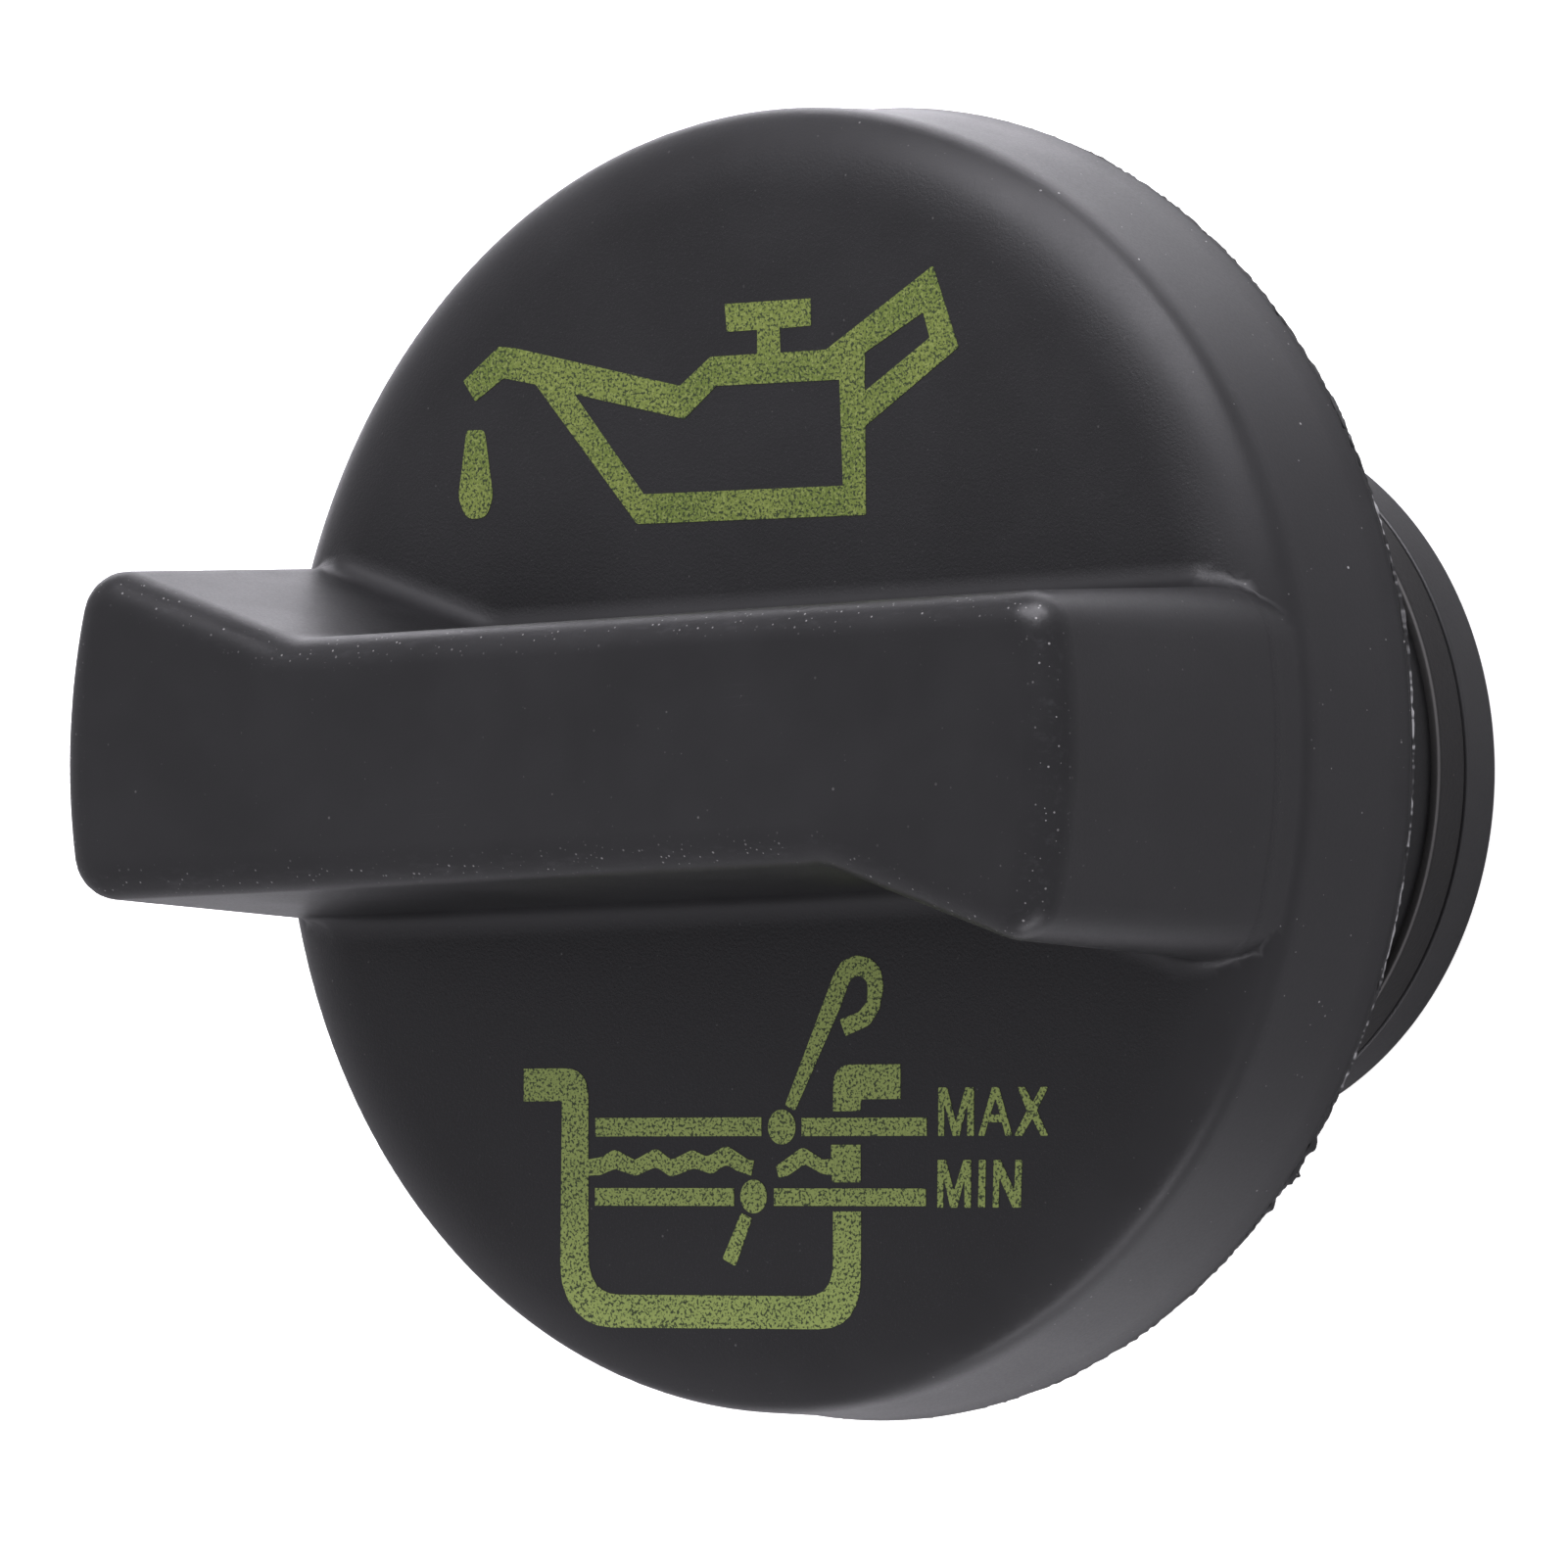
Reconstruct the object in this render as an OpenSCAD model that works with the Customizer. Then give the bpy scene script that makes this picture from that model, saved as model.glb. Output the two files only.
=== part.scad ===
// Quarter-turn oil filler cap: a round knob with a bar grip, a plug that goes down
// the filler neck, and a rubber seal ring near the plug's end.
// The cap stands on the plug's end, with its face up. +Z points out of the face,
// X runs along the grip. Lengths are in millimetres, angles in degrees.

/* [Knob] */
// Diameter over the lip at the skirt's rear edge
skirt_d = 66; // [60:0.5:76]
// Height of the flat face above the skirt's rear edge
face_rise = 10.3; // [9.5:0.1:14]
// Draft angle of the skirt's outer wall
skirt_draft = 3; // [1:0.5:5]
// Thickness of the skirt wall at its rear edge
skirt_wall = 2.4; // [1.8:0.1:3.5]
// Thickness of the disc under the face
disc_wall = 2.6; // [2:0.1:3.5]
// How far the lip at the rear edge stands out of the skirt
lip_out = 0.2; // [0.1:0.05:0.5]
// Height of that lip
lip_h = 1.8; // [1:0.1:3]
// Radius of the wide arc where the face turns down into the shoulder
shoulder_wide_r = 6; // [4:0.5:8]
// Angle at which the wide arc passes into the tight one
shoulder_turn = 41; // [25:1:50]
// Radius of the tight arc between the shoulder and the skirt
shoulder_tight_r = 1.8; // [1.2:0.1:2.4]

/* [Grip] */
// Height of the grip above the face
grip_rise = 16.6; // [12:0.1:20]
// Width of the grip's middle at its top
grip_w = 12.3; // [10:0.1:15]
// Distance from the skirt's top edge to the grip's ends at their top
grip_end_in = 1.1; // [0.8:0.1:3]
// Distance from the middle to the bend where a side flares out
flare_start = 16.5; // [12:0.5:20]
// Angle of the flared sides to the grip's length
flare_angle = 19.7; // [10:0.1:24]
// Radius of the bend where the flare starts
bend_r = 5; // [3:0.5:8]
// Radius of the grip's upright corners
corner_r = 2.3; // [2:0.1:3]
// Radius of the rounding round the grip's top
top_round = 1.8; // [1:0.1:1.9]
// Draft angle of the grip's walls
grip_draft = 2.8; // [1.5:0.1:4]
// Thickness of the grip's walls
grip_wall = 2.4; // [1.8:0.1:3]
// Number of ribs across the hollow of the grip
cross_ribs = 7; // [3:1:9]
// Thickness of the ribs across the hollow of the grip
cross_rib_t = 1.6; // [1.2:0.1:2.2]

/* [Underside] */
// Depth of the skirt from its rear edge up to the seat for the filler neck's rim
seat_depth = 5; // [4.5:0.1:5.5]
// Gap between the collar and the seat ring
seat_gap = 2.1; // [1.6:0.1:3]
// Width of the seat ring
seat_w = 1.8; // [1.2:0.1:2.4]
// Wall of the collar that holds the plug
collar_wall = 2; // [1.6:0.1:2.4]
// Height of the collar below the disc
collar_h = 4.4; // [4.2:0.1:5]
// Number of radial ribs between the collar and the skirt
web_count = 12; // [6:2:16]
// Thickness of a radial rib
web_t = 1.5; // [1.2:0.1:2]
// How much the radial ribs stand back from the seat ring's face
web_back = 0.6; // [0.3:0.1:1]

/* [Plug] */
// Reach of the plug below the skirt's rear edge
plug_reach = 27; // [24:0.5:34]
// Diameter of the plug's barrel
barrel_d = 37; // [34:0.1:38]
// Wall of the plug's barrel
barrel_wall = 2.2; // [1.8:0.1:2.6]
// Thickness of the plate that closes the plug's top
plate_t = 2.4; // [2:0.1:3]
// Clearance between the barrel and the knob's collar
collar_gap = 0.1; // [0.05:0.05:0.3]
// How far the snap bead stands out of the barrel
bead_out = 0.45; // [0.3:0.05:0.6]
// Height of the snap bead at its foot
bead_h = 1.2; // [1:0.1:1.5]
// Width of a driving key
key_w = 3; // [2:0.1:4]
// Number of driving keys
key_count = 4; // [2:1:6]
// Height of the end ring
end_ring_h = 2.6; // [2:0.1:4]
// How far the end ring stands out of the barrel
end_ring_out = 0.35; // [0.2:0.05:0.6]
// Height of the flange on the seal's other side
flange_h = 2; // [1.5:0.1:3]
// How far that flange stands out of the barrel
flange_out = 0.45; // [0.2:0.05:0.6]
// How far a bayonet lug stands out of the barrel
lug_out = 3; // [2:0.1:3.5]
// Height of a bayonet lug
lug_h = 4; // [3:0.1:6]
// Angle that a bayonet lug takes up
lug_arc = 34; // [20:1:45]
// Height of the lugs' rear side above the flange
lug_above_flange = 4.6; // [3:0.1:8]

/* [Seal] */
// Width of the rubber ring along the plug
seal_w = 3; // [2.4:0.1:4]
// How far the ring's crest stands out of the barrel
seal_out = 0.8; // [0.5:0.05:1.2]
// How much lower the ring is where it meets the end ring
seal_taper = 0.45; // [0.2:0.05:0.5]
// Depth of the groove that holds the ring
seal_groove = 1.2; // [1:0.1:1.3]
// Open gap between the ring and the end ring
seal_gap = 0.3; // [0.2:0.05:0.6]

/* [Hidden] */
$fn = 96;
cut = 0.5;

skirt_z = plug_reach;
face_z = skirt_z + face_rise;
under_z = face_z - disc_wall;
top_z = face_z + grip_rise;
seat_z = skirt_z + seat_depth;
web_z = seat_z + web_back;

skirt_r = skirt_d / 2;
wall_r = skirt_r - lip_out;
// the skirt's outer wall leans in with height
function skirt_wall_r(z) = wall_r - (z - skirt_z) * tan(skirt_draft);

// centres and ends of the two shoulder arcs, where the arcs touch the skirt's wall
arc_end = 90 - skirt_draft;
shoulder_h = shoulder_wide_r * (1 - cos(shoulder_turn))
    + shoulder_tight_r * (cos(shoulder_turn) - cos(arc_end));
shoulder_z = face_z - shoulder_h;
shoulder_r = skirt_wall_r(shoulder_z);
tight_c = [shoulder_r - shoulder_tight_r * sin(arc_end), shoulder_z - shoulder_tight_r * cos(arc_end)];
turn_p = tight_c + shoulder_tight_r * [sin(shoulder_turn), cos(shoulder_turn)];
wide_c = turn_p - shoulder_wide_r * [sin(shoulder_turn), cos(shoulder_turn)];

cavity_r = skirt_r - skirt_wall;
cavity_top_r = cavity_r - (under_z - skirt_z) * tan(skirt_draft);
cavity_round = 1;

barrel_r = barrel_d / 2;
bore_r = barrel_r - barrel_wall;
collar_in_r = barrel_r + collar_gap;
collar_out_r = collar_in_r + collar_wall;
collar_z = under_z - collar_h;
seat_in_r = collar_out_r + seat_gap;
bead_top_gap = 0.7;
key_bead_gap = 0.8;
key_below_collar = 1.4;
key_short = 0.4;
bead_z = under_z - bead_top_gap - bead_h / 2;
key_top_z = bead_z - bead_h / 2 - key_bead_gap;
key_z = collar_z - key_below_collar;
key_r = collar_out_r - key_short;

groove_z = end_ring_h;
seal_z = groove_z + seal_gap;
flange_z = seal_z + seal_w;
barrel_z = flange_z + flange_h;
groove_r = barrel_r - seal_groove;
lug_z = barrel_z + lug_above_flange;

// The grip's plan. n is the outward direction of a side, s how far the whole plan is
// drawn in, and d a further inset that keeps the centres of the corners.
grip_r = skirt_wall_r(shoulder_z) - grip_end_in;
half_w = grip_w / 2;
n_side = [0, -1];
n_flare = [-sin(flare_angle), -cos(flare_angle)];
h_flare = [cos(flare_angle), -sin(flare_angle)];
n_mid = (n_side + n_flare) / (1 + n_side * n_flare);
function arc(c, r, a0, a1, steps) =
    [for (i = [0 : steps]) let (a = a0 + (a1 - a0) * i / steps) c + r * [cos(a), sin(a)]];
function bend_c() = [flare_start, -half_w] + bend_r * n_mid;
// centre of the corner between the flared side and the grip's end
function flare_corner(s, rc) =
    let (p = [flare_start, -half_w] - s * n_mid - rc * n_flare,
         b = p * h_flare,
         t = -b + sqrt(b * b - p * p + pow(grip_r - s - rc, 2)))
    p + t * h_flare;
// centre of the corner between the straight side and the grip's end
function plain_corner(s, rc) =
    let (y = half_w - s - rc) [sqrt(pow(grip_r - s - rc, 2) - y * y), y];
function heading(p) = atan2(p.y, p.x);
function half_plan(s, rc, d) =
    let (c1 = flare_corner(s, rc), c2 = plain_corner(s, rc))
    concat(
        arc(bend_c(), bend_r + s + d, 90, 90 - flare_angle, 4),
        arc(c1, rc - d, -90 - flare_angle, heading(c1), 6),
        [for (p = arc([0, 0], grip_r - s - d, heading(c1), heading(c2), 8)) p],
        arc(c2, rc - d, heading(c2), 90, 6));
// drops a point that stands on the one before it
function distinct(p) =
    [for (i = [0 : len(p) - 1]) if (norm(p[i] - p[(i + len(p) - 1) % len(p)]) > 0.001) p[i]];
function plan(s, rc, d) =
    let (h = half_plan(s, rc, d)) distinct(concat(h, [for (p = h) -p]));

// A closed solid through plans of the grip, one above the other. Each end is closed by
// a four-sided middle and a fan of triangles in each half, because the plan isn't convex.
module loft(rings) {
    n = len(rings[0]);
    half = n / 2;
    last = len(rings) - 1;
    points = [for (r = rings) for (p = r) p];
    sides = [for (k = [0 : last - 1]) for (i = [0 : n - 1])
        [k * n + i, (k + 1) * n + i, (k + 1) * n + (i + 1) % n, k * n + (i + 1) % n]];
    end_faces = concat([[0, half - 1, half, n - 1]],
        [for (h = [0, half]) for (i = [0 : half - 3]) [h + half - 1, h + i, h + i + 1]]);
    roof = [for (f = end_faces) [for (i = [len(f) - 1 : -1 : 0]) last * n + f[i]]];
    polyhedron(points, concat(end_faces, roof, sides), convexity = 6);
}
function lift(p, z) = [for (q = p) [q.x, q.y, z]];

module grip_outer() {
    foot_z = shoulder_z + cut;
    centre_d = top_round * (1 - sin(grip_draft)) / cos(grip_draft);
    steps = 6;
    round_rings = [for (i = [0 : steps])
        let (a = grip_draft + (90 - grip_draft) * i / steps)
        lift(plan(0, corner_r, centre_d - top_round * cos(a)), top_z - top_round + top_round * sin(a))];
    loft(concat([lift(plan(0, corner_r, -(top_z - foot_z) * tan(grip_draft)), foot_z)], round_rings));
}

// The hollow under the grip, open to the rear and crossed by ribs
module grip_hollow() {
    roof_z = top_z - grip_wall;
    low_z = under_z - cavity_round - cut;
    inner_r = 0.8;
    reach = grip_r - grip_wall;
    difference() {
        loft([
            lift(plan(grip_wall, inner_r, -(top_z - low_z) * tan(grip_draft)), low_z),
            lift(plan(grip_wall, inner_r, -(top_z - roof_z) * tan(grip_draft)), roof_z)]);
        for (i = [1 : cross_ribs])
            translate([-reach + 2 * reach * i / (cross_ribs + 1) - cross_rib_t / 2, -reach, under_z])
                cube([cross_rib_t, 2 * reach, grip_rise + disc_wall]);
    }
}

// Slice of a disc between two directions, measured from +X. The disc's own outline starts
// at the slice's first direction.
module sector(c, r, a0, a1) {
    far = r / cos((a1 - a0) / 2) + 1;
    intersection() {
        translate(c) rotate(a0) circle(r);
        polygon([c, c + far * [cos(a0), sin(a0)], c + far * [cos(a1), sin(a1)]]);
    }
}

// The tight arc's disc lies inside the wide arc's, and touches it where the arcs meet
module knob_profile() {
    arcs_meet = 90 - shoulder_turn;
    difference() {
        union() {
            polygon([[0, skirt_z], [0, face_z], [wide_c.x, face_z], wide_c, tight_c,
                [shoulder_r, shoulder_z], [skirt_wall_r(skirt_z + lip_h), skirt_z + lip_h],
                [skirt_r, skirt_z + 0.2], [skirt_r, skirt_z]]);
            sector(wide_c, shoulder_wide_r, arcs_meet, 90);
            translate(tight_c) rotate(arcs_meet) circle(shoulder_tight_r);
        }
        polygon([[0, skirt_z - cut], [0, under_z], [cavity_top_r - cavity_round, under_z],
            [cavity_top_r, under_z - cavity_round], [cavity_r, skirt_z], [cavity_r, skirt_z - cut]]);
    }
}

module ring(r_in, r_out, z0, z1) {
    translate([0, 0, z0]) difference() {
        cylinder(r = r_out, h = z1 - z0);
        translate([0, 0, -cut]) cylinder(r = r_in, h = z1 - z0 + 2 * cut);
    }
}

module spread(count, start = 0) {
    for (i = [0 : count - 1]) rotate(start + i * 360 / count) children();
}

module knob_webs() {
    spread(web_count, 180 / web_count)
        translate([collar_out_r - cut, -web_t / 2, web_z])
            cube([cavity_r - collar_out_r + 2 * cut, web_t, under_z - web_z + cut]);
}

module knob() {
    color([0.19, 0.19, 0.2]) difference() {
        union() {
            difference() {
                union() {
                    rotate_extrude() knob_profile();
                    grip_outer();
                }
                grip_hollow();
            }
            ring(seat_in_r, seat_in_r + seat_w, seat_z, under_z + cut);
            ring(collar_in_r, collar_out_r, collar_z, under_z + cut);
            knob_webs();
        }
        bead_groove();
        spread(key_count, 45)
            translate([collar_in_r - cut, -key_w / 2 - collar_gap, collar_z - cut])
                cube([collar_wall + 2 * cut, key_w + 2 * collar_gap, key_top_z + collar_gap - collar_z + cut]);
    }
}

// Snap bead on the barrel, and the groove for it in the collar
module bead_shape(gap) {
    foot = bead_h / 2 + gap;
    crest = bead_h / 2 - bead_out + gap / 2;
    rotate_extrude() polygon([[barrel_r - cut, bead_z - foot], [barrel_r, bead_z - foot],
        [barrel_r + bead_out + gap, bead_z - crest], [barrel_r + bead_out + gap, bead_z + crest],
        [barrel_r, bead_z + foot], [barrel_r - cut, bead_z + foot]]);
}

module bead_groove() {
    bead_shape(collar_gap);
}

module plug_profile() {
    edge = 0.4;
    polygon([
        [bore_r + edge, 0], [barrel_r + end_ring_out - edge, 0], [barrel_r + end_ring_out, edge],
        [barrel_r + end_ring_out, groove_z - edge / 2], [barrel_r + end_ring_out - edge / 2, groove_z],
        [groove_r, groove_z], [groove_r, flange_z],
        [barrel_r + flange_out, flange_z], [barrel_r + flange_out, barrel_z - flange_out],
        [barrel_r, barrel_z], [barrel_r, under_z], [0, under_z], [0, under_z - plate_t],
        [bore_r - 1, under_z - plate_t], [bore_r, under_z - plate_t - 1], [bore_r, edge]]);
}

// A bayonet lug, with its long edges chamfered
module lug() {
    chamfer = lug_out / 4;
    rotate(90 - lug_arc / 2) rotate_extrude(angle = lug_arc) polygon([
        [barrel_r - cut, lug_z], [barrel_r + lug_out - chamfer, lug_z], [barrel_r + lug_out, lug_z + chamfer],
        [barrel_r + lug_out, lug_z + lug_h - chamfer], [barrel_r + lug_out - chamfer, lug_z + lug_h],
        [barrel_r - cut, lug_z + lug_h]]);
}

module plug() {
    color([0.17, 0.17, 0.18]) union() {
        rotate_extrude() plug_profile();
        bead_shape(0);
        spread(2) lug();
        spread(key_count, 45)
            translate([barrel_r - cut, -key_w / 2, key_z])
                cube([key_r - barrel_r + cut, key_w, key_top_z - key_z]);
    }
}

module seal_ring() {
    crest = 0.3;
    crest_c = [barrel_r + seal_out - crest, flange_z - crest - 0.05];
    color([0.16, 0.15, 0.145]) rotate_extrude() union() {
        polygon([[groove_r, seal_z], [barrel_r + seal_out - seal_taper, seal_z],
            crest_c + [crest, 0], crest_c, [crest_c.x, flange_z], [groove_r, flange_z]]);
        sector(crest_c, crest, 0, 90);
    }
}

knob();
plug();
seal_ring();
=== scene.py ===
import bmesh
import bpy
import numpy as np
from mathutils import Matrix, Vector


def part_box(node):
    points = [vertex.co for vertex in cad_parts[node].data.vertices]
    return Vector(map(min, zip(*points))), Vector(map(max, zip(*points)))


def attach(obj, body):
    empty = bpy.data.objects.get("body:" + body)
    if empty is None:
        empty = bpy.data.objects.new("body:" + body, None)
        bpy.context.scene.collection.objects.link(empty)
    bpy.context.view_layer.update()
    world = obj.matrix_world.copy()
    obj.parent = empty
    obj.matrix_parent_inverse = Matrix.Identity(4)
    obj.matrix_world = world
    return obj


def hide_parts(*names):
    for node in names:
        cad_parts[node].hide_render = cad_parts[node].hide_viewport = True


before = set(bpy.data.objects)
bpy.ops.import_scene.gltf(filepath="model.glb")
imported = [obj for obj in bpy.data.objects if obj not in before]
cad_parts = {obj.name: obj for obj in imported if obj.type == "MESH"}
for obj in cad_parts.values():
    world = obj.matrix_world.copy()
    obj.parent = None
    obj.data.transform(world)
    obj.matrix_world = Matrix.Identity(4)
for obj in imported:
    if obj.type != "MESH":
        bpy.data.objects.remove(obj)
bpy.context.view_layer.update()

# The camera
# It stands off the face's near side with a long lens. The grip's length runs across the
# picture, so the camera is rolled until the cap's +Y points up in it.
scene = bpy.context.scene


def placed(name, data):
    """A new object in the scene, at the origin."""
    piece = bpy.data.objects.new(name, data)
    scene.collection.objects.link(piece)
    return piece


camera_place = (0.34730, -0.02701, 0.47162)
camera_right = Vector((0.78217, -0.01757, -0.62282))
camera_up = Vector((0.04250, 0.99878, 0.02519))
camera_back = camera_right.cross(camera_up)
camera_turn = Matrix((camera_right, camera_up, camera_back)).transposed().to_4x4()
camera_data = bpy.data.cameras.new("camera")
camera_data.sensor_width = 36
camera_data.lens = 258.59
camera_data.clip_start = 0.05
camera = placed("camera", camera_data)
camera.matrix_world = Matrix.Translation(camera_place) @ camera_turn
scene.camera = camera

# The knob
# One moulding of black nylon: a disc whose edge turns down over two arcs into a deep skirt,
# and a bar grip that is hollow from the rear. Its outer walls have draft. Sizes here are in mm.
MM = 0.001
knob_low, knob_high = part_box("knob")
plug_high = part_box("plug")[1]
skirt_z = knob_low.z / MM
top_z = knob_high.z / MM
under_z = plug_high.z / MM
skirt_r = knob_high.x / MM
disc_wall = 2.6
face_z = under_z + disc_wall

# the skirt, its rear lip and the two arcs of the shoulder
skirt_draft = np.radians(3)
skirt_wall = 2.4
lip_out = 0.2
lip_h = 2.0
wide_r = 6.0
tight_r = 1.8
turn_angle = np.radians(41)
rear_edge_r = 0.45

# the seat ring, the collar and the webs inside
cavity_edge_r = 1.0
seat_r, seat_w, seat_z = 23.6, 1.8, skirt_z + 5
collar_r, collar_wall, collar_z = 19.6, 2.0, under_z - 4.4
web_count, web_t, web_z = 12, 1.5, skirt_z + 5.6
inside_edge_r = 0.2
inside_foot_r = 0.3
# how far the grip and these rings reach into the disc, to be one with it
sunk = 0.5

# the grip, the fillet at its foot and the ribs in its hollow
grip_draft = np.radians(2.8)
grip_end_r = 31.301
grip_half_w = 6.15
# how far each half of the outline runs past the middle
past_middle = 9
flare_start = 16.5
flare = np.radians(19.7)
bend_r = 5.0
corner_r = 2.3
top_edge_r = 1.8
foot_r = 1.3
least_foot_r = 0.05
foot_fade_r, foot_fade_w = 28.6, 2.6
grip_wall = 2.4
rib_count, rib_t = 7, 1.6

# the mesh's cell, and how wide the grip's edge is rubbed
knob_cell = 0.48
rubbed_w = 0.7


def shoulder_arcs():
    """Centres of the wide and the tight arc, as (radius, height), in mm."""
    arc_end = np.pi / 2 - skirt_draft
    drop = wide_r * (1 - np.cos(turn_angle)) + tight_r * (np.cos(turn_angle) - np.cos(arc_end))
    edge_z = face_z - drop
    edge_r = skirt_r - lip_out - (edge_z - skirt_z) * np.tan(skirt_draft)
    tight = np.array([edge_r - tight_r * np.sin(arc_end), edge_z - tight_r * np.cos(arc_end)])
    way = np.array([np.sin(turn_angle), np.cos(turn_angle)])
    return tight + (tight_r - wide_r) * way, tight


wide_c, tight_c = shoulder_arcs()


def grip_plan():
    """The right half of the grip's outline at its top, as straight runs and arcs, counterclockwise.

    A run is (start, end); an arc is (centre, radius, first direction, last direction), with a radius
    below zero where it is hollow. The left half is the right one, turned half a turn.
    """
    side, flared = np.array([0, -1.0]), np.array([-np.sin(flare), -np.cos(flare)])
    along = np.array([np.cos(flare), -np.sin(flare)])
    foot = np.array([flare_start, -grip_half_w])
    bend_c = foot + bend_r * (side + flared) / (1 + side @ flared)
    start = foot - corner_r * flared
    # the centres of the two rounded corners at the end, and the directions in which they lie
    reach = grip_end_r - corner_r
    b = start @ along
    c1 = start + along * (np.sqrt(b * b - start @ start + reach ** 2) - b)
    y2 = grip_half_w - corner_r
    c2 = np.array([np.sqrt(reach ** 2 - y2 ** 2), y2])
    h1, h2 = np.arctan2(c1[1], c1[0]), np.arctan2(c2[1], c2[0])
    runs = [((-past_middle, -grip_half_w), (bend_c[0], -grip_half_w)),
            (bend_c - bend_r * flared, c1 + corner_r * flared),
            ((c2[0], grip_half_w), (-past_middle, grip_half_w))]
    arcs = [(bend_c, -bend_r, np.pi / 2 - flare, np.pi / 2),
            (c1, corner_r, -np.pi / 2 - flare, h1),
            (np.zeros(2), grip_end_r, h1, h2),
            (c2, corner_r, h2, np.pi / 2)]
    return runs, arcs


def plan_distance(x, y):
    """Signed distance to the grip's outline at its top, negative inside."""
    far_off = 1e9
    x, y = np.where(x < 0, -x, x), np.where(x < 0, -y, y)
    nearest, signed = np.full(len(x), far_off), np.zeros(len(x))
    for (x0, y0), (x1, y1) in grip_runs:
        length = np.hypot(x1 - x0, y1 - y0)
        u, v = (x1 - x0) / length, (y1 - y0) / length
        t = (x - x0) * u + (y - y0) * v
        off = (x - x0) * v - (y - y0) * u
        d = np.hypot(off, t - np.clip(t, 0, length))
        signed = np.where(d < nearest, np.where(off < 0, -d, d), signed)
        nearest = np.minimum(nearest, d)
    for (cx, cy), radius, a0, a1 in grip_arcs:
        from_c = np.hypot(x - cx, y - cy)
        middle, spread = (a0 + a1) / 2, (a1 - a0) / 2
        swing = np.arctan2(y - cy, x - cx) - middle
        swing = np.abs((swing + np.pi) % (2 * np.pi) - np.pi)
        d = np.where(swing <= spread + 1e-4, np.abs(from_c - abs(radius)), far_off)
        off = (from_c - abs(radius)) * np.sign(radius)
        signed = np.where(d < nearest, np.where(off < 0, -d, d), signed)
        nearest = np.minimum(nearest, d)
    return signed


def both(a, b, r):
    """Where two solids overlap, with the edge between them rounded to radius r."""
    near = np.hypot(np.maximum(a + r, 0), np.maximum(b + r, 0)) - r
    return np.where((a > -r) & (b > -r), near, np.maximum(a, b))


def either(a, b, r):
    """Two solids joined, with a fillet of radius r in the corner between them."""
    near = r - np.hypot(np.maximum(r - a, 0), np.maximum(r - b, 0))
    return np.where((a < r) & (b < r), near, np.minimum(a, b))


grip_runs, grip_arcs = grip_plan()


def shell_field(r, z):
    """The disc and skirt, filled."""
    wall = (r - skirt_r + lip_out + (z - skirt_z) * np.tan(skirt_draft)) * np.cos(skirt_draft)
    wall = wall - lip_out * (1 - np.clip((z - skirt_z) / lip_h, 0, 1)) ** 2
    outer = np.maximum(z - face_z, wall)
    on_tight, on_wide = (r - tight_c[0], z - tight_c[1]), (r - wide_c[0], z - wide_c[1])
    low, high = np.arctan2(*on_tight), np.arctan2(*on_wide)
    by_tight = (low > turn_angle) & (low < np.pi / 2 - skirt_draft)
    by_wide = (high > 0) & (high <= turn_angle)
    outer = np.where(by_tight, np.hypot(*on_tight) - tight_r, outer)
    outer = np.where(by_wide, np.hypot(*on_wide) - wide_r, outer)
    return both(outer, skirt_z - z, rear_edge_r)


def knob_field(p):
    """Signed distance to the knob, about true near its surface. Negative inside, in mm."""
    x, y, z = p.T
    r = np.hypot(x, y)
    plan = plan_distance(x, y) - (top_z - z) * np.tan(grip_draft)
    grip = both(plan * np.cos(grip_draft), z - top_z, top_edge_r)
    grip = np.maximum(grip, under_z + sunk - z)
    shell = shell_field(r, z)
    # the foot's fillet fades out where the grip's ends run into the shoulder
    flush = np.clip((r - foot_fade_r) / foot_fade_w, 0, 1)
    body = either(grip, shell, foot_r * (1 - flush) + least_foot_r)
    cavity_wall = r - (skirt_r - skirt_wall - (z - skirt_z) * np.tan(skirt_draft))
    cavity = both(cavity_wall, z - under_z, cavity_edge_r)
    hollow = np.maximum(plan + grip_wall, z - (top_z - grip_wall))
    pitch = 2 * (grip_end_r - grip_wall) / (rib_count + 1)
    from_rib = np.abs(x - pitch * np.clip(np.round(x / pitch), -(rib_count // 2), rib_count // 2))
    hollow = np.maximum(hollow, rib_t / 2 - from_rib)
    body = np.maximum(body, -np.minimum(cavity, hollow))
    roof = z - under_z - sunk
    seat = both(np.abs(r - seat_r) - seat_w / 2, seat_z - z, inside_edge_r)
    collar = both(np.abs(r - collar_r) - collar_wall / 2, collar_z - z, inside_edge_r)
    angle = np.arctan2(y, x) * web_count / (2 * np.pi)
    across = r * np.abs(np.sin((angle - np.floor(angle) - 0.5) * 2 * np.pi / web_count))
    web = both(across - web_t / 2, web_z - z, inside_edge_r)
    web = np.maximum(web, np.maximum(collar_r - r, r - skirt_r + skirt_wall / 2))
    inner = np.maximum(np.minimum(np.minimum(seat, collar), web), roof)
    return either(body, inner, inside_foot_r)


def slope_of(field, points, cell):
    """How fast the field rises along x, y and z at each point."""
    h = cell * 0.02
    return np.stack([(field(points + h * e) - field(points - h * e)) / (2 * h) for e in np.eye(3)], 1)


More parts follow.
